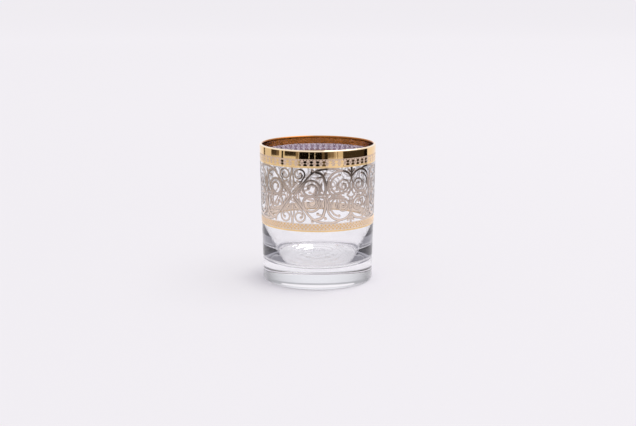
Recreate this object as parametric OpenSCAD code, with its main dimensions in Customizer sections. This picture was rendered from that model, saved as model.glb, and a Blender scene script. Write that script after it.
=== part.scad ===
// Heavy-based tumbler with gilded rim, two etched gold borders and a band of silver scrollwork.
// Origin at the centre of the foot, +Z up, front towards -Y.

/* [Glass] */
// Outer radius at the rim
rim_r = 40; // [36:0.5:46]
// How far the tapered wall draws in from the rim down to the table
taper_in = 1.9; // [0:0.1:6]
// Height from the table to the top of the lip
glass_h = 95; // [85:1:110]
// Thickness of the rounded lip
lip_t = 1.6; // [1.2:0.1:2.4]
// Thickness of the wall where it starts to thicken towards the base
wall_t = 2.2; // [1.6:0.1:3.2]
// Height at which the wall starts to thicken
thicken_z = 46; // [38:1:54]
// Radius of the slow curve that thickens the wall
thicken_r = 80; // [64:1:120]
// Radius of the tight corner between the bowl's wall and its floor
corner_r = 5.5; // [2:0.5:9]
// Thickness of the heavy base
base_t = 13; // [10:0.5:18]
// Radius of the rounded outer edge of the foot
heel_r = 2; // [1:0.25:5]
// Width of the flat ring that the glass stands on
rest_w = 3; // [2:0.5:8]
// Depth of the shallow hollow under the base
punt_d = 0.6; // [0.3:0.1:1.6]

/* [Gold] */
// Thickness of the fired metal coats
film_t = 0.15; // [0.1:0.01:0.3]
// Height of the bright gold on the outside of the rim
rim_gold_h = 5.7; // [3:0.1:8]
// Depth of the bright gold on the inside of the rim
rim_gold_in_h = 0.9; // [0.4:0.1:2]
// Height of the upper etched border
upper_border_h = 4.6; // [3:0.1:7]
// Height of the bright line under the upper border
upper_line_h = 1.3; // [0.8:0.1:2]
// Height of the lower etched border
lower_border_h = 4.7; // [3:0.1:7]
// Height of the bright line under the lower border
lower_line_h = 1; // [0.6:0.1:2]

/* [Silver scrollwork] */
// Height of the scrollwork band
scroll_h = 37.4; // [28:0.2:40]
// Number of times that the pattern repeats around the glass
scroll_repeats = 3; // [2:1:4]
// Height of the raised silver lines
relief_t = 0.2; // [0.16:0.01:0.3]
// Width of a main scroll line
line_w = 1.3; // [0.9:0.05:1.6]
// Width of a fine scroll line
fine_w = 1.1; // [0.8:0.05:1.4]
// Width of the trunk between two roundels
trunk_w = 1.8; // [1.2:0.05:2.2]
// Radius of the ball that ends a scroll
ball_r = 0.95; // [0.7:0.05:1.2]
// Outer radius of the large roundels
large_roundel_r = 6; // [4:0.1:6.6]
// Radius of the wide loop that frames the small roundels
loop_r = 9.2; // [7:0.1:10]
// Radius of the hooked line inside the wide loop
hook_r = 6.4; // [5:0.1:7.5]
// Outer radius of the small roundels
small_roundel_r = 4.3; // [3:0.1:5]
// Outer radius of the curls beside the spears
curl_r = 3.4; // [2.4:0.1:4]
// Turn of the first spear away from the front, in degrees
scroll_turn = -25.5; // [-60:0.1:60]

/* [Hidden] */
$fn = 180;
// Steps in each round stretch of the glass's outline
arc_steps = 16;
// How far a flat facet of a scroll may cut inside its curve
facet_sag = 0.2;
// Air left under the scroll lines, because their flat facets cut across the round wall
seat_gap = 0.03;
// Step in height between lines that cross, so that one runs clearly under the other
cross_step = 0.025;

// Outer radius that the tapered wall would reach at the table, and the angle of its taper
foot_r = rim_r - taper_in;
taper = atan(taper_in / glass_h);
function wall_r(z) = foot_r + z * tan(taper);

// Heights of the bands, from the rim down
rim_gold_z = glass_h - rim_gold_h;
upper_border_z = rim_gold_z - upper_border_h;
scroll_top_z = upper_border_z - upper_line_h;
scroll_low_z = scroll_top_z - scroll_h;
lower_border_z = scroll_low_z - lower_border_h;
lower_line_z = lower_border_z - lower_line_h;

// Centres of the round stretches in the outline, each tangent to the wall. The slow curve meets
// the tight corner where both have the same angle.
lip_r = lip_t / 2;
lip_z = glass_h - lip_r;
lip_x = wall_r(lip_z) - lip_r / cos(taper);
heel_x = wall_r(heel_r) - heel_r / cos(taper);
slow_x = wall_r(thicken_z) - wall_t - thicken_r;
corner_z = base_t + corner_r;
corner_x = slow_x + sqrt(pow(thicken_r - corner_r, 2) - pow(thicken_z - corner_z, 2));
corner_angle = atan2(corner_z - thicken_z, corner_x - slow_x);
rest_r = heel_x - rest_w;
punt_sphere_r = (rest_r * rest_r + punt_d * punt_d) / (2 * punt_d);
punt_angle = asin(rest_r / punt_sphere_r);

function arc(x, z, r, from, to) = [
  for (i = [0 : arc_steps]) let (a = from + (to - from) * i / arc_steps)
    [x + r * cos(a), z + r * sin(a)]
];

module glass_body() {
  punt = arc(0, punt_d - punt_sphere_r, punt_sphere_r, 90, 90 - punt_angle);
  heel = arc(heel_x, heel_r, heel_r, -90, -taper);
  lip = arc(lip_x, lip_z, lip_r, -taper, 180);
  slow_curve = arc(slow_x, thicken_z, thicken_r, 0, corner_angle);
  corner = arc(corner_x, corner_z, corner_r, corner_angle, -90);
  color("gainsboro", 0.4)
    rotate_extrude()
      polygon(concat(punt, heel, lip, slow_curve, corner, [[0, base_t]]));
}

// A metal coat on the outer wall between two heights
module wall_band(z0, z1) {
  rotate_extrude()
    polygon([
      [wall_r(z0), z0],
      [wall_r(z0) + film_t, z0],
      [wall_r(z1) + film_t, z1],
      [wall_r(z1), z1]
    ]);
}

module rim_gilding() {
  gold_in_r = lip_x - lip_r;
  outside = arc(lip_x, lip_z, lip_r + film_t, -taper, 180);
  against_glass = arc(lip_x, lip_z, lip_r, 180, -taper);
  color("gold")
    rotate_extrude()
      polygon(concat(
        [[wall_r(rim_gold_z), rim_gold_z], [wall_r(rim_gold_z) + film_t, rim_gold_z]],
        outside,
        [[gold_in_r - film_t, lip_z - rim_gold_in_h], [gold_in_r, lip_z - rim_gold_in_h]],
        against_glass
      ));
}

module upper_gold_border() {
  color("burlywood") wall_band(upper_border_z, rim_gold_z);
}

module upper_gold_line() {
  color("gold") wall_band(scroll_top_z, upper_border_z);
}

module lower_gold_border() {
  color("burlywood") wall_band(lower_border_z, scroll_low_z);
}

module lower_gold_line() {
  color("gold") wall_band(lower_line_z, lower_border_z);
}

// The scrollwork is drawn on a cell that runs from one spear to the next stem and from the
// middle of the band to its edge. Every place in it is a share of the cell's width and height.
cell_deg = 180 / scroll_repeats;
scroll_mid_z = (scroll_top_z + scroll_low_z) / 2;
cell_h = scroll_h / 2;
mid_r = wall_r(scroll_mid_z);
cell_w = mid_r * cell_deg * PI / 180;
function place(share) = [share[0] * cell_w, share[1] * cell_h];
function places(shares) = [for (s = shares) place(s)];

// A scroll that winds from its outer radius to its inner one, slowly at first.
// Its turn is the angle it starts at, the angle it sweeps, and how late it draws in.
// Its steps are longer where it winds tighter.
function winding(centre, r_out, r_in, turn) =
  let (n = ceil(abs(turn[1]) * PI / 180 * sqrt((r_out + r_in) / (16 * facet_sag))))
  [
    for (i = [0 : n])
      let (
        t = i / n,
        a = turn[0] + turn[1] * pow(t, r_in < r_out ? 1.2 : 1),
        r = r_out + (r_in - r_out) * pow(t, turn[2])
      )
      centre + r * [cos(a), sin(a)]
  ];

// A line that ends in a ball gets two more places: the ball's middle and its tip
function with_ball(path) =
  let (
    n = len(path) - 1,
    u = (path[n] - path[n - 1]) / norm(path[n] - path[n - 1])
  )
  concat(path, [path[n] + u * ball_r * 0.8, path[n] + u * ball_r * 1.7]);

// A place in the cell, put on the tapered wall at a height over the glass
function on_wall(p, side, up, over) =
  let (
    z = scroll_mid_z + up * p[1],
    a = scroll_turn + side * p[0] / mid_r * 180 / PI,
    r = wall_r(z) + over
  )
  [r * sin(a), -r * cos(a), z];

// A low ridge of silver along a path: two edges on the wall and a crest between them.
// A line of a deeper level lies lower on top and higher underneath.
module ridge(path, half_w, level, side, up) {
  n = len(path) - 1;
  under = seat_gap + level * cross_step;
  crest = seat_gap + relief_t - level * cross_step;
  points = [
    for (i = [0 : n])
      let (
        along = path[min(i + 1, n)] - path[max(i - 1, 0)],
        across = [-along[1], along[0]] / norm(along) * half_w[i]
      )
      each [
        on_wall(path[i] - across, side, up, under),
        on_wall(path[i] + across, side, up, under),
        on_wall(path[i], side, up, crest)
      ]
  ];
  sides = [
    for (i = [0 : n - 1], k = [0 : 2])
      let (a = 3 * i + k, b = 3 * i + (k + 1) % 3)
      each [[a, b, b + 3], [a, b + 3, a + 3]]
  ];
  ends = [[2, 1, 0], [3 * n, 3 * n + 1, 3 * n + 2]];
  faces = concat(sides, ends);
  polyhedron(points, side * up > 0 ? [for (f = faces) [f[0], f[2], f[1]]] : faces);
}

module even_line(path, w, level, side, up) {
  ridge(path, [for (p = path) w / 2], level, side, up);
}

module pointed_line(path, w, level, side, up) {
  n = len(path) - 1;
  ridge(path, [for (i = [0 : n]) w / 2 * (1 - 0.7 * i / n)], level, side, up);
}

module ball_line(path, w, level, side, up) {
  widths = concat([for (p = path) w / 2], [ball_r, ball_r / 2]);
  ridge(with_ball(path), widths, level, side, up);
}

// A leaf: a broad round end that runs into a narrow one
module leaf(shares, side, up) {
  hull()
    for (i = [0, 1]) {
      p = place(shares[i]);
      r = i == 0 ? ball_r : ball_r / 3;
      translate(on_wall(p, side, up, seat_gap))
        rotate([90, 0, scroll_turn + side * p[0] / mid_r * 180 / PI])
          cylinder(h = relief_t / 2, r1 = r, r2 = r / 2, $fn = 6);
    }
}

// Places of the scrollwork in shares of the cell
large_roundel_share = [0.318, 0.26];
loop_share = [0.807, 0.4];
hook_share = [0.79, 0.4];
small_roundel_share = [0.853, 0.36];
curl_share = [0.13, 0.775];
// Turn of each scroll: the angle it starts at, the angle it sweeps, and how late it draws in
large_roundel_turn = [-55, 590, 2.4];
loop_turn = [30, 200, 1];
hook_turn = [255, -165, 1];
small_roundel_turn = [-30, 480, 2.2];
curl_turn = [-20, 390, 3];
outer_stem_shares = [
  [0.03, 0], [0.065, 0.11], [0.145, 0.33], [0.22, 0.535],
  [0.31, 0.77], [0.4, 0.895], [0.52, 0.955], [0.64, 0.975], [0.73, 0.96]
];
inner_stem_shares = [[0, 0.065], [0.08, 0.29], [0.15, 0.465], [0.195, 0.6]];
spear_shares = [[0, 0.27], [0.03, 0.37], [0.031, 0.5], [0.018, 0.72], [0, 0.85]];
spear_root_shares = [[0, 0.8], [0, 1]];
trunk_shares = [
  [0.53, 0.02], [0.555, 0.22], [0.545, 0.45], [0.518, 0.65], [0.49, 0.78], [0.385, 0.86]
];
trunk_curl_shares = [[0.515, 0.68], [0.485, 0.695], [0.46, 0.675]];
middle_shares = [[0.4, 0], [0.5, 0], [0.62, 0], [0.78, 0], [0.93, 0]];
stem_shares = [[0.92, 0], [0.972, 0.1], [0.974, 0.28], [0.976, 0.45], [1, 0.57]];
stem_foot_shares = [[1, 0.54], [1, 1]];
stem_bud_shares = [[0.995, 0.8], [0.968, 0.865]];
spear_bud_shares = [[0.035, 0.38], [0.06, 0.455]];
stem_leaf_shares = [[0.112, 0.14], [0.14, 0.31]];

// One cell of the pattern, turned to one side of the spear and to one half of the band
module scroll_cell(side, up) {
  large = winding(place(large_roundel_share), large_roundel_r, ball_r, large_roundel_turn);
  ball_line(large, line_w, 0, side, up);
  small = winding(place(small_roundel_share), small_roundel_r, ball_r, small_roundel_turn);
  ball_line(small, fine_w, 2, side, up);
  curl = winding(place(curl_share), curl_r, ball_r, curl_turn);
  ball_line(concat(places(inner_stem_shares), curl), fine_w, 2, side, up);
  loop = winding(place(loop_share), loop_r, loop_r, loop_turn);
  even_line(loop, line_w, 0, side, up);
  hook = winding(place(hook_share), hook_r, hook_r, hook_turn);
  ball_line(hook, fine_w, 2, side, up);
  even_line(places(outer_stem_shares), line_w, 1, side, up);
  even_line(places(spear_shares), fine_w, 2, side, up);
  pointed_line(places(trunk_shares), trunk_w, 2, side, up);
  ball_line(places(trunk_curl_shares), fine_w, 3, side, up);
  even_line(places(stem_shares), fine_w, 2, side, up);
  ball_line(places(stem_bud_shares), fine_w, 3, side, up);
  ball_line(places(spear_bud_shares), fine_w, 3, side, up);
  leaf(stem_leaf_shares, side, up);
}

module silver_scrollwork() {
  color("silver")
    for (turn = [0 : scroll_repeats - 1], side = [-1, 1])
      rotate(turn * 2 * cell_deg) {
        even_line(places(middle_shares), fine_w, 3, side, 1);
        for (up = [-1, 1])
          scroll_cell(side, up);
        // The stem and the spear's root lie on an axis that two cells share
        even_line(places(stem_foot_shares), line_w, 1, 1, side);
        even_line(places(spear_root_shares), line_w, 1, 1, side);
      }
}

glass_body();
rim_gilding();
upper_gold_border();
upper_gold_line();
silver_scrollwork();
lower_gold_border();
lower_gold_line();
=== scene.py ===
"""Gilded tumbler: the looks of the clear glass, its fired gold bands and its silver scrollwork."""

import math

import bmesh
import bpy
from bpy.props import FloatProperty, FloatVectorProperty, IntProperty, PointerProperty
from mathutils import Matrix, Vector


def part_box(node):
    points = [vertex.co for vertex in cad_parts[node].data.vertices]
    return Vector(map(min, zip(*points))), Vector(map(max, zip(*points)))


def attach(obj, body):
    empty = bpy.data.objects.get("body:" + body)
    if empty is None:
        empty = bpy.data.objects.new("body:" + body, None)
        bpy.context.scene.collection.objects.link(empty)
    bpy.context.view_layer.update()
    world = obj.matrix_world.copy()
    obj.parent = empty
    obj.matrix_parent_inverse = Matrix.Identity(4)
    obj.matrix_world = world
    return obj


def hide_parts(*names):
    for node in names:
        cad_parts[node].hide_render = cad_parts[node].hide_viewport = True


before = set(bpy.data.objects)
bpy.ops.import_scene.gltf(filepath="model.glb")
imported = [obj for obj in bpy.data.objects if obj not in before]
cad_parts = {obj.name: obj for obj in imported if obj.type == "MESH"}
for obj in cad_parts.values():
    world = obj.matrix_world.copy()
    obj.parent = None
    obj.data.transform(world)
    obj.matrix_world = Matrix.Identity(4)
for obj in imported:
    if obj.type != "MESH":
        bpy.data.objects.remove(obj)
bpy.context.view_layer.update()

bl_info = {
    "name": "Gilded tumbler",
    "version": (1, 0, 0),
    "blender": (4, 5, 0),
    "location": "View3D > Sidebar > Tumbler",
    "description": "Heavy-based tumbler with gilded rim, etched gold borders and silver scrollwork",
    "category": "Add Mesh",
}

MM = 0.001
BODY = "root"
# Corners nearer than this, in metres, are welded: in a spun piece, and in the finer scrollwork
WELD, FINE_WELD = 1e-6, 1e-7
# Places in the frame that the bands are worked out from
GLASS_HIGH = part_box("glass_body")[1]
RIM_LOW, RIM_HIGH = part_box("rim_gilding")
COAT_T = RIM_HIGH.z - GLASS_HIGH.z
LOW_BAND, HIGH_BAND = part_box("lower_gold_line")[1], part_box("upper_gold_border")[1]
SLOPE = (HIGH_BAND.x - LOW_BAND.x) / (HIGH_BAND.z - LOW_BAND.z)
TAPER = math.atan(SLOPE)


def linear(hex_colour):
    """An sRGB hex colour as linear red, green, blue and alpha."""
    parts = [int(hex_colour[i:i + 2], 16) / 255 for i in (0, 2, 4)]
    return [c / 12.92 if c <= 0.04045 else ((c + 0.055) / 1.055) ** 2.4 for c in parts] + [1.0]


def band(name):
    """Lowest and highest height of a band in the frame."""
    low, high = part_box(name)
    return low.z, high.z


def wall_radius(z):
    """Outer radius of the tapered wall at a height, from the radii of two of its bands."""
    return LOW_BAND.x - COAT_T + SLOPE * (z - LOW_BAND.z)


def length(name, description, default, low, high):
    """A length that the panel shows, given here in millimetres."""
    return FloatProperty(
        name=name, description=description, default=default * MM, min=low * MM, max=high * MM,
        unit="LENGTH", precision=5,
    )


def colour(name, description, hex_colour):
    """A colour that the panel shows, given here as sRGB hex."""
    return FloatVectorProperty(
        name=name, description=description, default=linear(hex_colour), size=4, min=0, max=1,
        subtype="COLOR",
    )


class TumblerGlass(bpy.types.PropertyGroup):
    """Sizes and colour of the clear glass"""

    lip_t: length("Lip thickness", "Thickness of the rounded lip", 1.6, 1.2, 2.4)
    wall_t: length("Wall", "Thickness of the wall where it starts to thicken", 2.2, 1.6, 3.2)
    thicken_z: length("Thicken height", "Height where the wall starts to thicken", 46, 38, 54)
    thicken_r: length("Slow curve", "Radius of the slow curve that thickens the wall", 80, 64, 120)
    corner_r: length("Corner", "Radius of the tight corner between wall and floor", 5.5, 2, 9)
    base_t: length("Base thickness", "Thickness of the heavy base", 13, 10, 18)
    heel_r: length("Heel radius", "Radius of the rounded outer edge of the foot", 2, 1, 5)
    rest_w: length("Rest width", "Width of the flat ring that the glass stands on", 3, 2, 8)
    punt_d: length("Punt depth", "Depth of the shallow hollow under the base", 0.6, 0.3, 1.6)
    ripple_h: length("Ripple height", "Height of the ripples in the bowl's floor", 0.11, 0, 0.3)
    ripple_w: length("Ripple width", "Distance from one ripple to the next", 6.2, 3, 12)
    steps: IntProperty(name="Steps round", description="Faces round the glass", default=256, min=48)
    tint: colour("Tint", "Colour of the clear glass", "F9F9FA")
    # Trapped light: painted shade, a grey that stands for the dark that thick glass shows
    trapped: colour("Trapped light", "What dims light that has turned in it many times", "9E9EA5")


class TumblerGold(bpy.types.PropertyGroup):
    """Sizes and colours of the gold bands"""

    sunk: length("Sunk", "How far a fired coat lies in the glass's skin", 0.02, 0.01, 0.05)
    inside_h: length("Inside depth", "Depth of the bright gold inside the lip", 0.9, 0.4, 2)
    rosettes: IntProperty(
        name="Rosettes", description="Rosettes round the upper border", default=60, min=24,
    )
    large_dot_r: length("Large dot", "Radius of the dots between rosettes", 0.95, 0.5, 1.2)
    small_dot_r: length("Small dot", "Radius of the dots round a rosette", 0.38, 0.2, 0.5)
    lattice_step: length("Lattice step", "Spacing of the diamonds in the lower border", 2.6, 1.2, 3)
    bright: colour("Bright gold", "Burnished gold", "F1D09B")
    # Lip: a painted highlight, paler gold on the crown of the lip where it catches the light
    lip: colour("Lip", "Bright gold on the crown of the lip, worn paler", "FBECD2")
    lattice: colour("Lattice", "Polished diamonds of the lower border", "E4BD88")
    upper_matt: colour("Upper border's gold", "Gold fired on etched glass", "D8BFAA")
    lower_matt: colour("Lower border's gold", "Gold fired on etched glass", "E9D5C1")
    bright_back: colour("Bright gold's back", "Bright gold seen through the glass", "B8763A")
    dot_back: colour("Dots' back", "Polished dots seen through the glass", "C2AABF")
    upper_back: colour("Upper border's back", "Upper border seen through the glass", "FAEEFC")
    lower_back: colour("Lower border's back", "Lower border seen through the glass", "F8E2CA")
    # Lower line's back: painted light, made pale for the floor's light that comes through it
    line_back_painted_light: colour("Lower line's back", "Lower gold line seen through the glass", "E3C08F")


class TumblerSilver(bpy.types.PropertyGroup):
    """Sizes and colours of the silver scrollwork"""

    line_w: length("Line", "Width of a main scroll line", 1.55, 0.9, 2.2)
    fine_w: length("Fine line", "Width of a fine scroll line", 1.2, 0.8, 1.8)
    trunk_w: length("Trunk", "Width of the trunk between two roundels", 1.95, 1.2, 2.6)
    ball_r: length("Ball", "Radius of the ball that ends a scroll", 1.05, 0.7, 1.3)
    relief: length("Relief", "Height of a line over the glass", 0.14, 0.1, 0.22)
    repeats: IntProperty(
        name="Repeats", description="Times that the pattern repeats", default=3, min=2,
    )
    turn: FloatProperty(
        name="Turn", description="Turn of the first spear away from the front",
        default=math.radians(-25.5), subtype="ANGLE",
    )
    front: colour("Silver", "Fired silver lustre", "C0B1A6")
    # Low silver: painted light, the front made paler near the band's lower end
    low_front_painted_light: colour("Low silver", "The same near the band's lower end, fired paler", "DCCBBD")
    # Edge: painted shade, the darker colour that the steep faces of a line are given
    edge: colour("Silver's edge", "Steep edge of a line, where the lustre burns darker", "837973")
    back: colour("Silver's back", "Silver lustre seen through the glass", "FFFDFB")
    low_back: colour("Silver's low back", "The same near the band's lower end", "E9D6C8")


class TumblerStage(bpy.types.PropertyGroup):
    """The floor and the light"""

    floor: colour("Floor", "Pale floor", "F1EEF3")
    backdrop: colour("Backdrop", "The studio's white for the eye, metal and glass", "FEFBFF")
    light: FloatProperty(
        name="Light", description="Strength of the studio's light", default=1.0, min=0,
    )


def node(tree, kind, settings=None, **links):
    """Adds a node with its settings, and links its inputs to other nodes' outputs or sets them."""
    made = tree.nodes.new("ShaderNode" + kind)
    for key, value in (settings or {}).items():
        setattr(made, key, value)
    for key, value in links.items():
        socket = next(s for s in made.inputs if s.enabled and s.name == key.replace("_", " "))
        if isinstance(value, bpy.types.NodeSocket):
            tree.links.new(value, socket)
        else:
            socket.default_value = value
    return made


def ramp(tree, value, places, results):
    """A value that goes from the first result at the first place to the second at the second."""
    made = node(
        tree, "MapRange", Value=value, From_Min=places[0], From_Max=places[1], To_Min=results[0],
        To_Max=results[1],
    )
    return made.outputs["Result"]


def new_material(name):
    """A material with an empty node tree."""
    material = bpy.data.materials.new(name)
    material.use_nodes = True
    material.node_tree.nodes.clear()
    return material, material.node_tree


# Mirrorings after which light in the glass counts as trapped, and the share of a lamp's light that
# goes straight through
TRAPPED_AFTER, LAMP_SHARE = 3.5, 0.5
# Spacing of the glass's waves and of a coat's clouds of tone, and where in the clouds' noise the
# dark and the full tone lie
WAVE, CLOUD, CLOUD_TONES = 14 * MM, 9 * MM, (0.3, 0.62)


def clear_pressed_glass(sizes):
    """Soda-lime glass, pressed and fire-polished: clear, bright edges and the faintest waves.
    Light that has turned in it many times goes on through a grey, which is painted shade that
    makes thick parts grey, and some of a lamp's light goes straight on, so that the shadow is
    faint."""
    material, tree = new_material("clear_pressed_glass")
    place = node(tree, "TexCoord").outputs["Object"]
    waves = node(tree, "TexNoise", Vector=place, Scale=1 / WAVE, Detail=1.0)
    bump = node(tree, "Bump", Height=waves.outputs["Fac"], Strength=0.02, Distance=0.2 * MM)
    glass = node(
        tree, "BsdfPrincipled", Base_Color=tuple(sizes.tint), Roughness=0.0, IOR=1.52,
        Transmission_Weight=1.0, Normal=bump.outputs["Normal"],
    )
    path = node(tree, "LightPath").outputs
    trapped = node(tree, "Math", {"operation": "GREATER_THAN"})
    tree.links.new(path["Glossy Depth"], trapped.inputs[0])
    trapped.inputs[1].default_value = TRAPPED_AFTER
    passes = node(tree, "Math", {"operation": "MULTIPLY_ADD"})
    tree.links.new(path["Is Shadow Ray"], passes.inputs[0])
    passes.inputs[1].default_value = LAMP_SHARE
    tree.links.new(trapped.outputs["Value"], passes.inputs[2])
    mixed = node(tree, "MixShader", Fac=passes.outputs["Value"])
    tree.links.new(glass.outputs["BSDF"], mixed.inputs[1])
    # A grey see-through pass: painted shade for light trapped in thick glass, and for part of a
    # lamp's light
    thick_glass_painted_shade = node(tree, "BsdfTransparent", Color=tuple(sizes.trapped))
    tree.links.new(thick_glass_painted_shade.outputs["BSDF"], mixed.inputs[2])
    node(tree, "OutputMaterial", Surface=mixed.outputs["Shader"])
    return material


def metal_coat(name, rgba, roughness, grain, mottle, metallic=1.0, fade=None):
    """A fired metal coat. Grain is the spacing and the depth of its fine unevenness in millimetres,
    mottle how much its tone changes from place to place. Fade is another colour and two heights:
    the coat has that colour below the first and its own above the second."""
    material, tree = new_material(name)
    place = node(tree, "TexCoord").outputs["Object"]
    spacing, depth = grain[0] * MM, grain[1] * MM
    tooth = node(tree, "TexNoise", Vector=place, Scale=1 / spacing, Detail=3.0)
    cloud = node(tree, "TexNoise", Vector=place, Scale=1 / CLOUD, Detail=2.0)
    dark = tuple(c * (1 - mottle * 2) for c in rgba[:3]) + (1.0,)
    tone = node(tree, "ValToRGB", Fac=cloud.outputs["Fac"])
    for element, position, shade in zip(tone.color_ramp.elements, CLOUD_TONES, (dark, rgba)):
        element.position, element.color = position, tuple(shade)
    bump = node(tree, "Bump", Height=tooth.outputs["Fac"], Strength=0.5, Distance=depth)
    metal = node(
        tree, "BsdfPrincipled", Base_Color=tone.outputs["Color"], Metallic=metallic,
        Roughness=roughness, Normal=bump.outputs["Normal"],
    )
    if fade:
        other, low, high = fade
        height = node(tree, "SeparateXYZ", Vector=place).outputs["Z"]
        up = ramp(tree, height, (low, high), (0.0, 1.0))
        own = tone.outputs["Color"]
        mixed = node(tree, "Mix", {"data_type": "RGBA"}, Factor=up, A=tuple(other), B=own)
        result = next(s for s in mixed.outputs if s.enabled)
        tree.links.new(result, metal.inputs["Base Color"])
    node(tree, "OutputMaterial", Surface=metal.outputs["BSDF"])
    return material


def finish_piece(name, bm, materials, nodes, sharp=35):
    """Turns a bmesh into a piece that stands for its CAD nodes and rides on the glass. Edges that
    turn by more than sharp degrees stay crisp."""
    mesh = bpy.data.meshes.new(name)
    bm.to_mesh(mesh)
    bm.free()
    for material in materials:
        mesh.materials.append(material)
    mesh.shade_smooth()
    mesh.set_sharp_from_angle(angle=math.radians(sharp))
    piece = bpy.data.objects.new(name, mesh)
    bpy.context.scene.collection.objects.link(piece)
    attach(piece, BODY)
    if nodes:
        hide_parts(*nodes)


def arc(centre, r, start, end, steps):
    """Places on an arc in the plane of the profile, angles in degrees."""
    angles = [math.radians(start + (end - start) * i / steps) for i in range(steps + 1)]
    return [(centre[0] + r * math.cos(a), centre[1] + r * math.sin(a)) for a in angles]


def spun(profile, steps, closed):
    """Spins a profile of radius and height about the glass's axis."""
    bm = bmesh.new()
    verts = [bm.verts.new((r, 0, z)) for r, z in profile]
    edges = [bm.edges.new(pair) for pair in zip(verts, verts[1:])]
    if closed:
        edges.append(bm.edges.new((verts[-1], verts[0])))
    bmesh.ops.spin(
        bm, geom=verts + edges, cent=(0, 0, 0), axis=(0, 0, 1), dvec=(0, 0, 0),
        angle=2 * math.pi, steps=steps, use_merge=True,
    )
    bmesh.ops.remove_doubles(bm, verts=bm.verts, dist=WELD)
    bmesh.ops.recalc_face_normals(bm, faces=bm.faces)
    return bm


def paint_back(bm, edge=-1.0):
    """Gives the faces that look in at the axis the second material, and those that look out less
    squarely than edge the third."""
    for face in bm.faces:
        centre = face.calc_center_median()
        square = face.normal.dot(Vector((centre.x, centre.y, 0)).normalized())
        face.material_index = 1 if square < -0.5 else 2 if square < edge else 0


def glass_profile(sizes):
    """The glass's outline, from the middle of its foot round the lip to the middle of its floor."""
    taper = math.degrees(TAPER)
    heel_x = wall_radius(sizes.heel_r) - sizes.heel_r / math.cos(TAPER)
    rest_r = heel_x - sizes.rest_w
    punt_r = (rest_r ** 2 + sizes.punt_d ** 2) / (2 * sizes.punt_d)
    punt_angle = math.degrees(math.asin(rest_r / punt_r))
    lip, lip_r = lip_centre(sizes)
    slow = (wall_radius(sizes.thicken_z) - sizes.wall_t - sizes.thicken_r, sizes.thicken_z)
    corner_z = sizes.base_t + sizes.corner_r
    reach = sizes.thicken_r - sizes.corner_r
    corner = (slow[0] + math.sqrt(reach ** 2 - (slow[1] - corner_z) ** 2), corner_z)
    turn = math.degrees(math.atan2(corner[1] - slow[1], corner[0] - slow[0]))
    inner_low, inner_high = (slow[0] + sizes.thicken_r, slow[1]), (lip[0] - lip_r, lip[1])
    punt = arc((0, sizes.punt_d - punt_r), punt_r, 90, 90 - punt_angle, 12)
    heel = arc((heel_x, sizes.heel_r), sizes.heel_r, -90, -taper, 16)
    wall = between((wall_radius(sizes.heel_r), sizes.heel_r), (wall_radius(lip[1]), lip[1]))
    round_lip = arc(lip, lip_r, -taper, 180, 16)
    inner_wall = between(inner_high, inner_low)
    bowl = arc(slow, sizes.thicken_r, 0, turn, 24) + arc(corner, sizes.corner_r, turn, -90, 20)[1:]
    floor = rippled_floor(sizes, corner[0])
    return punt + heel + wall + round_lip + inner_wall + bowl + floor + [(0, sizes.base_t)]


def rippled_floor(sizes, r_out, steps=60):
    """Places on the bowl's floor, from its edge in: round ripples, as the press leaves them, that
    die out at the edge and the middle."""
    places = []
    for i in range(1, steps):
        r = r_out * (1 - i / steps)
        swell = sizes.ripple_h * math.sin(math.pi * r / r_out) ** 0.5
        places.append((r, sizes.base_t + swell * math.cos(2 * math.pi * r / sizes.ripple_w)))
    return places


def between(start, end):
    """Places that keep a straight stretch straight: close to each end and one at its middle."""
    return [
        (start[0] + (end[0] - start[0]) * share, start[1] + (end[1] - start[1]) * share)
        for share in (0.01, 0.05, 0.5, 0.95, 0.99)
    ]


def lip_centre(sizes):
    """The middle of the rounded lip and its radius."""
    lip_r = sizes.lip_t / 2
    z = GLASS_HIGH.z - lip_r
    return (wall_radius(z) - lip_r / math.cos(TAPER), z), lip_r


class TUMBLER_OT_glass(bpy.types.Operator):
    """Add the clear glass, spun from its outline"""

    bl_idname = "tumbler.add_glass"
    bl_label = "Clear glass"

    def execute(self, context):
        sizes = context.scene.tumbler_glass
        bm = spun(glass_profile(sizes), sizes.steps, closed=False)
        finish_piece("clear_glass", bm, [clear_pressed_glass(sizes)], ["glass_body"])
        return {"FINISHED"}


def band_profile(z0, z1, sunk, proud):
    """The outline of a coat on the wall between two heights, its outer edges a little rounded."""
    edge = proud / 2
    return [
        (wall_radius(z0) - sunk, z0), (wall_radius(z0) + proud - edge, z0),
        (wall_radius(z0) + proud, z0 + edge), (wall_radius(z1) + proud, z1 - edge),
        (wall_radius(z1) + proud - edge, z1), (wall_radius(z1) - sunk, z1),
    ]


# The low round of a gold line's front: shares of its height and of the coat's thickness
LINE_ROUND = ((0, 0.3), (0.14, 0.65), (0.32, 0.9), (0.5, 1), (0.68, 0.9), (0.86, 0.65), (1, 0.3))


def line_profile(z0, z1, sunk):
    """The outline of a gold line on the wall between two heights, its front a low round."""
    front = [
        (wall_radius(z0 + (z1 - z0) * up) + COAT_T * out, z0 + (z1 - z0) * up)
        for up, out in LINE_ROUND
    ]
    return [(wall_radius(z0) - sunk, z0), *front, (wall_radius(z1) - sunk, z1)]


# Burnished gold's finish, and how far up the lip, in its radii, the gold is painted pale as a
# highlight
BURNISHED = {"roughness": 0.06, "grain": (3.0, 0.002), "mottle": 0.03}
LIP_HIGHLIGHT_FADE = 0.7


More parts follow.
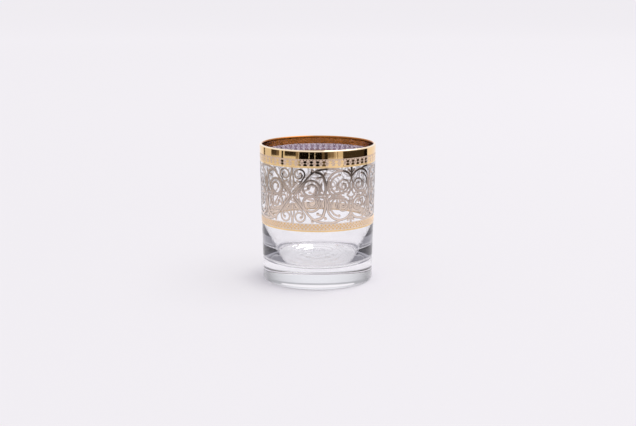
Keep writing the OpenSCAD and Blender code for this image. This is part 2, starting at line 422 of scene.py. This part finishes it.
class TUMBLER_OT_rim(bpy.types.Operator):
    """Add the bright gold over the lip"""

    bl_idname = "tumbler.add_rim"
    bl_label = "Rim gilding"

    def execute(self, context):
        glass, gold = context.scene.tumbler_glass, context.scene.tumbler_gold
        lip, lip_r = lip_centre(glass)
        taper = math.degrees(TAPER)
        low = RIM_LOW.z
        outside = arc(lip, lip_r + COAT_T, -taper, 180, 20)
        against_glass = arc(lip, lip_r - gold.sunk, 180, -taper, 20)
        bottom = lip[1] - gold.inside_h
        profile = [(wall_radius(low) - gold.sunk, low), (wall_radius(low) + COAT_T, low)]
        profile += [(wall_radius(low + MM) + COAT_T, low + MM)] + outside
        profile += [(lip[0] - lip_r - COAT_T, bottom), (lip[0] - lip_r + gold.sunk, bottom)]
        bm = spun(profile + against_glass, glass.steps, closed=True)
        paint_back(bm)
        materials = [lip_gold_painted_highlight(gold, lip[1], lip_r), bright_gold_back(gold)]
        finish_piece("gilded_rim", bm, materials, ["rim_gilding"])
        return {"FINISHED"}


def lip_gold_painted_highlight(gold, lip_z, lip_r):
    """Bright gold on the lip with a painted highlight: pale on its crown, full below it."""
    fade = gold.bright, lip_z, lip_z + lip_r * LIP_HIGHLIGHT_FADE
    return metal_coat("bright_gold_lip_painted_highlight", gold.lip, **BURNISHED, fade=fade)


def bright_gold(gold):
    """Liquid bright gold, fired and burnished: a clean mirror with the faintest brush waves."""
    return metal_coat("bright_gold_burnished", gold.bright, **BURNISHED)


def bright_gold_back(gold):
    """Bright gold seen through the glass that it is fired on: a darker orange-brown mirror."""
    name = "bright_gold_through_glass"
    return metal_coat(name, gold.bright_back, roughness=0.12, grain=(3.0, 0.004), mottle=0.1)


def matt_gold(name, rgba):
    """Gold fired on acid-etched glass: the etching's fine tooth gives a satin, warm ground."""
    etched = {"roughness": 0.5, "grain": (0.5, 0.02), "mottle": 0.05, "metallic": 0.15}
    return metal_coat(name + "_etched", rgba, **etched)


def matt_gold_back(name, rgba):
    """Etched gold seen through the glass: a paler ground, smoother where it lies on the glass."""
    name += "_through_glass"
    return metal_coat(name, rgba, roughness=0.2, grain=(0.6, 0.006), mottle=0.06)


def line_gold_back_painted_light(gold):
    """The lower gold line seen through the glass: painted pale, painted light for the floor's light
    that comes through it.
    """
    name = "line_gold_through_glass_painted_light"
    return metal_coat(name, gold.line_back_painted_light, roughness=0.2, grain=(3.0, 0.004), mottle=0.1)


class TUMBLER_OT_lines(bpy.types.Operator):
    """Add the two bright gold lines that close the borders"""

    bl_idname = "tumbler.add_lines"
    bl_label = "Gold lines"

    def execute(self, context):
        glass, gold = context.scene.tumbler_glass, context.scene.tumbler_gold
        low_back = line_gold_back_painted_light(gold)
        backs = {"upper_gold_line": bright_gold_back(gold), "lower_gold_line": low_back}
        for name, back in backs.items():
            materials = [bright_gold(gold), back]
            bm = spun(line_profile(*band(name), gold.sunk), glass.steps, closed=True)
            paint_back(bm)
            finish_piece(name.replace("line", "edge"), bm, materials, [name])
        return {"FINISHED"}


def onto_wall(bm, middle_z, turn):
    """Bends a flat pattern onto the tapered wall: x runs round it, y up it and z out of it."""
    r_middle = wall_radius(middle_z)
    for vert in bm.verts:
        x, y, out = vert.co
        angle, z = turn + x / r_middle, middle_z + y
        r = wall_radius(z) + out
        vert.co = (r * math.sin(angle), -r * math.cos(angle), z)
    bm.normal_update()


def add_dot(bm, x, y, r, low, high, sides, wide=1.0):
    """A dot with a flat top and a steep edge, on the flat pattern, wide times as wide as high."""
    bmesh.ops.create_cone(
        bm, cap_ends=True, cap_tris=False, segments=sides, radius1=r, radius2=r * 0.95,
        depth=high - low,
        matrix=Matrix.Translation((x, y, (low + high) / 2)) @ Matrix.Diagonal((wide, 1, 1, 1)),
    )


# The upper border's pattern, in millimetres over the border's middle: heights of the large dots
# and of the small ones, and a rosette's height with the places of the dots along its arms
LARGE_DOTS, SMALL_DOTS = (0.4, -1.5), (1.55, -2.0)
ROSETTE, ARM_DOTS, ARM_DOT_R = -0.4, (0.4, 0.85), 0.2
# A large dot's width over its height, and a small dot's distance from it in steps of the pattern
LARGE_DOT_WIDE, SMALL_DOT_SHIFT = 1.3, 0.24
# Rows of diamonds in the lower border, and a diamond's radius over the rows' distance
LATTICE_ROWS, DIAMOND = 3, 0.7
# How far the etched ground stands out of the wall, the polished ornament on it, and its foot
MATT_T, ORNAMENT_T, ORNAMENT_FOOT = COAT_T * 0.6, COAT_T * 0.8, COAT_T * 0.3


class TUMBLER_OT_borders(bpy.types.Operator):
    """Add the two etched borders with their rosettes, dots and lattice"""

    bl_idname = "tumbler.add_borders"
    bl_label = "Etched borders"

    def execute(self, context):
        glass, gold = context.scene.tumbler_glass, context.scene.tumbler_gold
        grounds = {
            "upper_gold_border": (gold.upper_matt, gold.upper_back),
            "lower_gold_border": (gold.lower_matt, gold.lower_back),
        }
        for name, (front, back) in grounds.items():
            bm = spun(band_profile(*band(name), gold.sunk, MATT_T), glass.steps, closed=True)
            paint_back(bm)
            materials = [matt_gold(name, front), matt_gold_back(name, back)]
            finish_piece(name.replace("gold", "etched"), bm, materials, [name])
        self.add_rosettes(gold)
        self.add_lattice(gold)
        return {"FINISHED"}

    def add_rosettes(self, gold):
        """The upper border's polished dots, and the polished crosses of its rosettes."""
        low, high = band("upper_gold_border")
        middle = (low + high) / 2
        step = 2 * math.pi * wall_radius(middle) / gold.rosettes
        under, over = -gold.sunk * 1.4, ORNAMENT_T
        dots, crosses = bmesh.new(), bmesh.new()
        for i in range(gold.rosettes):
            x = i * step
            for y in LARGE_DOTS:
                add_dot(dots, x, y * MM, gold.large_dot_r, under, over, 12, LARGE_DOT_WIDE)
            for side in (-SMALL_DOT_SHIFT, SMALL_DOT_SHIFT):
                for y in SMALL_DOTS:
                    add_dot(dots, x + side * step, y * MM, gold.small_dot_r, under, over, 8)
            for arm in range(4):
                turned = math.radians(45 + 90 * arm)
                for out in ARM_DOTS:
                    across = x + step / 2 + out * MM * math.cos(turned)
                    up = (ROSETTE + out * math.sin(turned)) * MM
                    add_dot(crosses, across, up, ARM_DOT_R * MM, under, over * 0.95, 6)
        materials = [bright_gold(gold), dot_gold_back(gold)]
        for bm, name in ((dots, "polished_dots"), (crosses, "rosette_crosses")):
            self.finish_pattern(bm, name, middle, materials)

    def add_lattice(self, gold):
        """Small polished diamonds on crossing diagonals in the lower border."""
        low, high = band("lower_gold_border")
        middle = (low + high) / 2
        count = round(2 * math.pi * wall_radius(middle) / gold.lattice_step)
        step = 2 * math.pi * wall_radius(middle) / count
        rise = (high - low) / (LATTICE_ROWS + 1)
        bm = bmesh.new()
        for row in range(LATTICE_ROWS):
            for i in range(count):
                x = (i + (row % 2) / 2) * step
                y = low - middle + (row + 1) * rise
                add_dot(bm, x, y, rise * DIAMOND, ORNAMENT_FOOT, ORNAMENT_T, 4)
        self.finish_pattern(bm, "lattice_diamonds", middle, [lattice_gold(gold)])

    def finish_pattern(self, bm, name, middle, materials):
        """Bends a flat pattern of dots onto the wall and makes it a piece."""
        onto_wall(bm, middle, 0)
        if len(materials) > 1:
            paint_back(bm)
        finish_piece(name, bm, materials, [])


def lattice_gold(gold):
    """Gold rubbed bright on the etching's high places: a softer mirror than the lines."""
    name = "lattice_gold_burnished"
    return metal_coat(name, gold.lattice, roughness=0.2, grain=(3.0, 0.002), mottle=0.03)


def dot_gold_back(gold):
    """A polished dot seen through the glass: dull, with a purple cast."""
    name = "dot_gold_through_glass"
    return metal_coat(name, gold.dot_back, roughness=0.3, grain=(3.0, 0.004), mottle=0.1)


def scroll(centre, r_out, r_in, start, sweep, late):
    """Places on a scroll that winds from its outer radius to its inner one, about one for every 22
    degrees. The higher late is, the later it winds in."""
    steps = max(6, round(abs(sweep) / 22))
    places = []
    for i in range(steps + 1):
        share = i / steps
        angle = math.radians(start + sweep * share)
        r = r_out + (r_in - r_out) * share ** late
        places.append((centre[0] + r * math.cos(angle), centre[1] + r * math.sin(angle)))
    return places


def scroll_strokes(silver):
    """The strokes of one cell: width, places in millimetres round the wall from the spear and up
    from the band's middle, and whether a ball ends the stroke."""
    line, fine, trunk = (w / MM for w in (silver.line_w, silver.fine_w, silver.trunk_w))
    large = scroll((13, 4.7), 6, 1.7, -55, 590, 2.0)
    small = scroll((35.1, 6.6), 4.4, 0.9, -100, 560, 1.8)
    curl = scroll((5.4, 14.2), 3.6, 1.0, -50, 450, 3)
    loop = scroll((33.3, 7.4), 9.2, 9.2, 30, 200, 1)
    hook = scroll((32.8, 7.4), 6.5, 6.4, 255, -160, 1)
    stem = [(21.9, 0.4), (22.9, 4.1), (22.5, 8.4), (21.5, 12.2), (20.4, 14.4), (16, 16.2)]
    rise = [
        (1.2, 0), (2.7, 2), (5.9, 6), (9.1, 10), (12.9, 14.4), (16, 16.6), (20, 17.8), (26, 18.2),
        (29.6, 17.9), (32.8, 16.8),
    ]
    return [
        (line, large, True),
        (line, loop + [(29.4, -1.0), (32.5, -1.7), (36, -1.3)], False),
        (line, rise, False),
        (fine, [(0.2, 0.9), (3.3, 5.2), (6.4, 9)] + curl, True),
        (fine, hook, True),
        (fine, small, True),
        (fine, [(0, 5.0), (1.2, 6.9), (1.3, 9.4), (0.8, 13.5), (0, 15.9)], False),
        (trunk, stem, False),
        (fine, [(21.2, 12.6), (20, 12.9), (17.6, 12.1)], True),
        (fine, [(21.2, 13.6), (22.8, 15.2)], True),
        (fine, [(37.9, 0), (40.1, 1.9), (40.2, 5.2), (40.3, 8.4), (41.25, 10.6)], False),
        (fine, [(41.05, 15), (39.0, 16.8)], True),
        (fine, [(1.4, 7.1), (2.5, 8.5)], True),
        (fine, [(13.2, 15.4), (14.0, 17.3)], True),
        (fine, [(4.8, 1.9), (5.6, 3.6), (6.6, 6.2)], False),
        (fine, [(15.2, 1.9), (18.2, 0.7), (21.2, 1.1), (24.6, 0.3)], False),
        (fine, [(24.2, 4.4), (25.8, 2.2), (28.6, 0.8), (32, 1.0)], False),
        (fine, [(5.8, 0.2), (7.4, -0.2), (9.4, 0.3)], False),
        (fine, [(20.2, 3.0), (19.9, 5.4), (20.3, 8.6)], False),
        (fine, [(25.6, 5.2), (25.2, 7.6), (25.7, 10)], False),
        (fine, [(30.9, 3.4), (30.2, 6.2), (30.9, 9)], False),
        (fine, [(3.4, 10.6), (4.6, 9.4), (6.4, 9.6)], False),
    ]


def shared_strokes(silver):
    """Strokes that lie on the axes that two cells share, in the same places."""
    line = silver.line_w / MM
    return [(line, [(0, 15), (0, 18.7)], False), (line, [(41.25, 10.1), (41.25, 18.7)], False)]


# How far the silver lies in the glass's skin, and how much higher each stroke of a cell lies than
# the one before
SILVER_SUNK = 0.02 * MM
STROKE_LIFT = 0.0015 * MM
# A scroll line's shoulder from its foot up: shares of its half width and of its relief
SHOULDER = ((1, 0.2), (0.84, 0.62), (0.66, 0.96))
# Heights between which the silver turns paler: on its front, where the paler low tone is painted
# light, and on its back
FRONT_PAINTED_LIGHT_FADE, BACK_FADE = (50 * MM, 66 * MM), (52 * MM, 62 * MM)


def line_section(silver):
    """The cross-section of a scroll line: a low bar with bevelled shoulders and a flat top."""
    curve = bpy.data.curves.new("line_section", "CURVE")
    half, relief = silver.line_w / 2, silver.relief
    right = [(out * half, up * relief) for out, up in SHOULDER]
    left = [(-x, y) for x, y in reversed(right)]
    outline = [(-half, -SILVER_SUNK), (half, -SILVER_SUNK), *right, (0, relief), *left]
    spline = curve.splines.new("POLY")
    spline.points.add(len(outline) - 1)
    for point, (x, y) in zip(spline.points, outline):
        point.co = (x, y, 0, 1)
    spline.use_cyclic_u = True
    return bpy.data.objects.new("line_section", curve)


def stroke_mesh(strokes, silver):
    """The strokes as raised lines on the flat pattern, each a hair higher than the one before."""
    section = line_section(silver)
    curve = bpy.data.curves.new("scroll_lines", "CURVE")
    curve.dimensions, curve.twist_mode, curve.resolution_u = "3D", "Z_UP", 5
    curve.bevel_mode, curve.bevel_object, curve.use_fill_caps = "OBJECT", section, True
    for level, (width, places, _) in enumerate(strokes):
        spline = curve.splines.new("BEZIER")
        spline.bezier_points.add(len(places) - 1)
        for point, (x, y) in zip(spline.bezier_points, places):
            point.co = (x * MM, y * MM, level * STROKE_LIFT)
            point.handle_left_type = point.handle_right_type = "AUTO"
            point.radius = width * MM / silver.line_w
    holder = bpy.data.objects.new("scroll_lines", curve)
    bpy.context.scene.collection.objects.link(holder)
    bpy.context.view_layer.update()
    graph = bpy.context.evaluated_depsgraph_get()
    mesh = bpy.data.meshes.new_from_object(holder.evaluated_get(graph))
    bpy.data.objects.remove(holder)
    bpy.data.objects.remove(section)
    bm = bmesh.new()
    bm.from_mesh(mesh)
    bpy.data.meshes.remove(mesh)
    for _, places, ball in strokes:
        if ball:
            add_ball(bm, places[-1], silver)
    bmesh.ops.remove_doubles(bm, verts=bm.verts, dist=FINE_WELD)
    bmesh.ops.recalc_face_normals(bm, faces=bm.faces)
    return bm


def add_ball(bm, place, silver):
    """The domed ball that ends a scroll, cut off flat below the glass's skin."""
    made = bmesh.ops.create_uvsphere(
        bm, u_segments=14, v_segments=8, radius=silver.ball_r,
        matrix=Matrix.Translation((place[0] * MM, place[1] * MM, 0))
        @ Matrix.Diagonal((1, 1, 1.15 * silver.relief / silver.ball_r, 1)),
    )
    for vert in made["verts"]:
        vert.co.z = max(vert.co.z, -SILVER_SUNK)


class TUMBLER_OT_scrollwork(bpy.types.Operator):
    """Add the silver scrollwork, drawn flat for one cell, mirrored and bent onto the wall"""

    bl_idname = "tumbler.add_scrollwork"
    bl_label = "Silver scrollwork"

    def execute(self, context):
        silver = context.scene.tumbler_silver
        low, high = band("silver_scrollwork")
        middle = (low + high) / 2
        cell_w = math.pi * wall_radius(middle) / silver.repeats
        cell = stroke_mesh(scroll_strokes(silver), silver)
        shared = stroke_mesh(shared_strokes(silver), silver)
        bm = bmesh.new()
        for repeat in range(silver.repeats):
            for up in (1, -1):
                self.add_copy(bm, shared, repeat * 2 * cell_w, 1, up)
                for side in (1, -1):
                    self.add_copy(bm, cell, repeat * 2 * cell_w, side, up)
        cell.free()
        shared.free()
        onto_wall(bm, middle, silver.turn)
        # Faces that look out less squarely than this get the painted edge shade
        paint_back(bm, edge=0.95)
        materials = [silver_front(silver), silver_back(silver), silver_painted_edge_shade(silver)]
        nodes = ["silver_scrollwork"]
        finish_piece("silver_scrolls", bm, materials, nodes, sharp=5)
        return {"FINISHED"}

    def add_copy(self, bm, cell, x, side, up):
        """Adds a cell to the flat pattern, on one side of the spear and in one half of the band."""
        mesh = bpy.data.meshes.new("cell")
        cell.to_mesh(mesh)
        mesh.transform(Matrix.Translation((x, 0, 0)) @ Matrix.Diagonal((side, up, 1, 1)))
        if side * up < 0:
            mesh.flip_normals()
        bm.from_mesh(mesh)
        bpy.data.meshes.remove(mesh)


def silver_front(silver):
    """Fired silver lustre: a warm grey satin mirror, painted paler near the band's lower end as
    painted light.
    """
    fade = silver.low_front_painted_light, *FRONT_PAINTED_LIGHT_FADE
    finish = {"roughness": 0.09, "grain": (0.8, 0.003), "mottle": 0.1}
    return metal_coat("silver_lustre", silver.front, **finish, fade=fade)


def silver_back(silver):
    """Silver lustre seen through the glass: nearly white, and warmer near the band's lower end."""
    fade = silver.low_back, *BACK_FADE
    finish = {"roughness": 0.2, "grain": (0.8, 0.006), "mottle": 0.06}
    return metal_coat("silver_lustre_through_glass", silver.back, **finish, fade=fade)


def silver_painted_edge_shade(silver):
    """The bevelled edge of a line, painted darker: painted shade that draws the pattern."""
    name = "silver_lustre_painted_edge_shade"
    return metal_coat(name, silver.edge, roughness=0.2, grain=(0.8, 0.003), mottle=0.06)


def stage_plane(name, places, material):
    """A flat stage piece with its corners at these places."""
    bm = bmesh.new()
    bm.faces.new([bm.verts.new(p) for p in places])
    return stage_piece(name, bm, material)


def stage_piece(name, bm, material):
    """Turns a bmesh into a piece of the studio, which isn't part of the glass."""
    mesh = bpy.data.meshes.new(name)
    bm.to_mesh(mesh)
    bm.free()
    mesh.materials.append(material)
    plane = bpy.data.objects.new(name, mesh)
    bpy.context.scene.collection.objects.link(plane)
    return plane


# Cards on the floor that only the metal mirrors, most of them dark: near and far edge in metres
# from the glass, the angles from the front between which each lies, and its tone
FLOOR_CARDS = (
    (0.35, 1.3, -134, -36, 0.8),
    (0.55, 1.2, -129, -124, 0.1), (0.55, 1.2, -101, -86, 0.06), (0.55, 1.2, -86, -79, 0.17),
    (0.4, 1.2, -73, -69, 0.02), (0.565, 1.2, -66, -42, 0.03), (0.5, 1.2, -42, -36.5, 0.25),
    (0.37, 1.2, -35.6, -16.4, 0.004), (0.37, 1.2, -15.6, -5.6, 0.003), (0.37, 1.2, -4.8, 8, 0.004),
    (0.38, 1.2, 8, 13, 0.12), (0.37, 1.2, 13, 19, 0.02), (0.5, 1.2, 19, 24, 0.18),
    (0.5, 1.2, 24, 31, 0.25), (0.5, 1.2, 31, 35, 0.5), (0.5, 1.2, 36, 39, 0.4),
    (0.5, 1.2, 39, 49, 0.7), (0.385, 1.2, 49, 101, 0.05), (0.385, 1.2, 101, 112, 0.006),
)
# Height of one card over the next, so that none lies in another
CARD_STEP = 0.1 * MM
# Grey screens round the glass that only the thick glass shows: the angles from the front between
# which each lies on both sides, the heights of its foot and top, and its tone at the two angles
SCREENS = (
    (62, 128, 0, 0.75, 0.21, 0.31), (128, 180, 0, 0.37, 0.31, 0.88),
    (128, 180, 0.37, 0.405, 0.35, 0.55),
)
SCREEN_R, SCREEN_COLOUR = 1.2, "FAFAFF"
# The share of the floor that shows even white to the eye, metal and glass, where the rest takes the
# light and the shadow. It drops in a narrow ring round the foot, so that the glass's shadow shows
# deeper there: radius and share at the ring's inner slope and at its outer one.
FLOOR_EVEN, FOOT_EVEN = 0.7, 0.05
RING_IN, RING_OUT = (0.0335, 0.0375), (0.0385, 0.06)
# The floor's white at two distances, so that it meets the white of the wall, and the wall's
FLOOR_NEAR, FLOOR_FAR = (0.3, 0.868), (4.0, 0.97)
WALL_WHITE = 0.89
# Half the floor's width, the strength and the colour of the light from all round, and the lamp's
# place, size and watts
FLOOR_REACH = 60.0
AIR, AIR_COLOUR = 0.77, "FBFAFD"
LAMP_PLACE, LAMP_SIZE, LAMP_WATTS = (1.5, 0.1, 3.2), (3.2, 2.4), 57.0
# The camera fitted to the photo: its place, its look down in degrees, its focal length in widths
# of the picture, and its sensor's width
CAMERA_PLACE, CAMERA_DOWN, FOCAL = (0.00023, -0.7508, 0.1964), 11.36, 1095.5 / 636
SENSOR = 36.0


def sector(inner, outer, start, end, z, steps=8):
    """Corners of a ring sector on the floor. Angles run from the front to the photo's right."""
    angles = [math.radians(start + (end - start) * i / steps) for i in range(steps + 1)]
    ring = [(outer * math.sin(a), -outer * math.cos(a), z) for a in angles]
    return ring + [(inner * math.sin(a), -inner * math.cos(a), z) for a in reversed(angles)]


def card_material(tone):
    """Plain card of one tone, brownish where it is dark."""
    material, tree = new_material("card")
    green, blue = tone * (0.75 + 0.25 * tone), tone * (0.52 + 0.48 * tone)
    card = node(tree, "Emission", Color=(tone, green, blue, 1), Strength=1.0)
    node(tree, "OutputMaterial", Surface=card.outputs["Emission"])
    return material


def seen_share(tree, share):
    """A factor that is share for rays from the eye, metal and through glass, and 0 for others."""
    path = node(tree, "LightPath").outputs
    seen = path["Is Camera Ray"]
    for name in ("Is Glossy Ray", "Is Transmission Ray"):
        both = node(tree, "Math", {"operation": "MAXIMUM"})
        tree.links.new(seen, both.inputs[0])
        tree.links.new(path[name], both.inputs[1])
        seen = both.outputs["Value"]
    return ramp(tree, seen, (0.0, 1.0), (0.0, share))


def shown_white(tree, plain):
    """The strength of the studio's white: 1 for metal, and plain for the eye and glass."""
    mirrored = node(tree, "LightPath").outputs["Is Glossy Ray"]
    return ramp(tree, mirrored, (0.0, 1.0), (plain, 1.0))


def pale_floor(stage):
    """Plain pale paper: nearly even white to the eye, with the glass's faint shadow on it."""
    material, tree = new_material("pale_floor")
    paper = node(tree, "BsdfDiffuse", Color=tuple(stage.floor))
    place = node(tree, "TexCoord").outputs["Object"]
    away = node(tree, "VectorMath", {"operation": "LENGTH"}, Vector=place).outputs["Value"]
    plain = ramp(tree, away, (FLOOR_NEAR[0], FLOOR_FAR[0]), (FLOOR_NEAR[1], FLOOR_FAR[1]))
    shown = shown_white(tree, plain)
    white = node(tree, "Emission", Color=tuple(stage.backdrop), Strength=shown)
    under = ramp(tree, away, RING_IN, (FLOOR_EVEN, FOOT_EVEN))
    even = ramp(tree, away, RING_OUT, (under, FLOOR_EVEN))
    mixed = node(tree, "MixShader", Fac=seen_share(tree, even))
    tree.links.new(paper.outputs["BSDF"], mixed.inputs[1])
    tree.links.new(white.outputs["Emission"], mixed.inputs[2])
    node(tree, "OutputMaterial", Surface=mixed.outputs["Shader"])
    return material


class TUMBLER_OT_stage(bpy.types.Operator):
    """Add the pale floor, the light, the cards and screens that the glass shows, and the camera"""

    bl_idname = "tumbler.add_stage"
    bl_label = "Studio"

    def execute(self, context):
        scene, stage = context.scene, context.scene.tumbler_stage
        size = FLOOR_REACH
        corners = [(-size, -size, 0), (size, -size, 0), (size, size, 0), (-size, size, 0)]
        stage_plane("floor", corners, pale_floor(stage))
        for i, (near, far, start, end, tone) in enumerate(FLOOR_CARDS):
            corners = sector(near, far, start, end, (i + 2) * CARD_STEP)
            card = stage_plane(f"card_{i}", corners, card_material(tone))
            card.visible_camera = card.visible_diffuse = card.visible_shadow = False
            card.visible_transmission = False
        for i, sizes in enumerate(SCREENS):
            for side in (-1, 1):
                self.add_screen(f"screen_{i}_{side + 1}", side, *sizes)
        self.add_light(scene, stage)
        self.add_camera(scene)
        scene.view_settings.view_transform = "Standard"
        return {"FINISHED"}

    def add_screen(self, name, side, start, end, foot, top, start_tone, end_tone):
        """A curved grey screen on one side, which only the glass shows."""
        start, end = math.radians(start), math.radians(end)
        material, tree = new_material("grey_screen")
        place = node(tree, "SeparateXYZ", Vector=node(tree, "TexCoord").outputs["Object"])
        ends_y = -SCREEN_R * math.cos(start), -SCREEN_R * math.cos(end)
        tone = ramp(tree, place.outputs["Y"], ends_y, (start_tone, end_tone))
        cloth = node(tree, "Emission", Color=linear(SCREEN_COLOUR), Strength=tone)
        node(tree, "OutputMaterial", Surface=cloth.outputs["Emission"])
        x, y = SCREEN_R * math.sin(start) * side, -SCREEN_R * math.cos(start)
        bm = bmesh.new()
        ends = [bm.verts.new((x, y, foot)), bm.verts.new((x, y, top))]
        bmesh.ops.spin(
            bm, geom=ends + [bm.edges.new(ends)], cent=(0, 0, 0), axis=(0, 0, 1), dvec=(0, 0, 0),
            angle=(end - start) * side, steps=24,
        )
        screen = stage_piece(name, bm, material)
        screen.visible_camera = screen.visible_diffuse = screen.visible_shadow = False
        screen.visible_glossy = False

    def add_light(self, scene, stage):
        """An even pale studio, and one soft lamp high on the right that throws the faint shadow."""
        world = bpy.data.worlds.new("studio")
        world.use_nodes = True
        world.node_tree.nodes.clear()
        tree = world.node_tree
        air = node(tree, "Background", Color=linear(AIR_COLOUR), Strength=AIR * stage.light)
        white = shown_white(tree, WALL_WHITE)
        wall = node(tree, "Background", Color=tuple(stage.backdrop), Strength=white)
        mixed = node(tree, "MixShader", Fac=seen_share(tree, 1.0))
        tree.links.new(air.outputs["Background"], mixed.inputs[1])
        tree.links.new(wall.outputs["Background"], mixed.inputs[2])
        node(tree, "OutputWorld", Surface=mixed.outputs["Shader"])
        scene.world = world
        lamp = bpy.data.lights.new("soft_box", "AREA")
        lamp.shape, lamp.energy = "RECTANGLE", LAMP_WATTS * stage.light
        lamp.size, lamp.size_y = LAMP_SIZE
        box = bpy.data.objects.new("soft_box", lamp)
        box.location = LAMP_PLACE
        box.rotation_mode = "QUATERNION"
        box.rotation_quaternion = box.location.to_track_quat("Z", "Y")
        scene.collection.objects.link(box)

    def add_camera(self, scene):
        """The photo's camera: a little under a metre away, looking down at the glass."""
        data = bpy.data.cameras.new("camera")
        data.sensor_width, data.lens = SENSOR, SENSOR * FOCAL
        camera = bpy.data.objects.new("camera", data)
        camera.location = CAMERA_PLACE
        camera.rotation_euler = (math.radians(90 - CAMERA_DOWN), 0, 0)
        scene.collection.objects.link(camera)
        scene.camera = camera


class TUMBLER_PT_panel(bpy.types.Panel):
    """Sizes and colours of the tumbler, and the buttons that add its pieces"""

    bl_label = "Gilded tumbler"
    bl_space_type = "VIEW_3D"
    bl_region_type = "UI"
    bl_category = "Tumbler"

    def draw(self, context):
        for group in GROUPS:
            box = self.layout.box()
            box.label(text=group.__doc__)
            holder = getattr(context.scene, GROUPS[group])
            for key in group.__annotations__:
                box.prop(holder, key)
        for operator in OPERATORS:
            self.layout.operator(operator.bl_idname)


GROUPS = {
    TumblerGlass: "tumbler_glass",
    TumblerGold: "tumbler_gold",
    TumblerSilver: "tumbler_silver",
    TumblerStage: "tumbler_stage",
}
OPERATORS = [
    TUMBLER_OT_glass, TUMBLER_OT_rim, TUMBLER_OT_borders, TUMBLER_OT_lines, TUMBLER_OT_scrollwork,
    TUMBLER_OT_stage,
]


def register():
    for cls in [*GROUPS, *OPERATORS, TUMBLER_PT_panel]:
        bpy.utils.register_class(cls)
    for group, name in GROUPS.items():
        setattr(bpy.types.Scene, name, PointerProperty(type=group))


def unregister():
    for name in GROUPS.values():
        delattr(bpy.types.Scene, name)
    for cls in reversed([*GROUPS, *OPERATORS, TUMBLER_PT_panel]):
        bpy.utils.unregister_class(cls)


def main():
    register()
    bpy.ops.tumbler.add_glass()
    bpy.ops.tumbler.add_rim()
    bpy.ops.tumbler.add_borders()
    bpy.ops.tumbler.add_lines()
    bpy.ops.tumbler.add_scrollwork()
    bpy.ops.tumbler.add_stage()


if __name__ == "__main__":
    main()
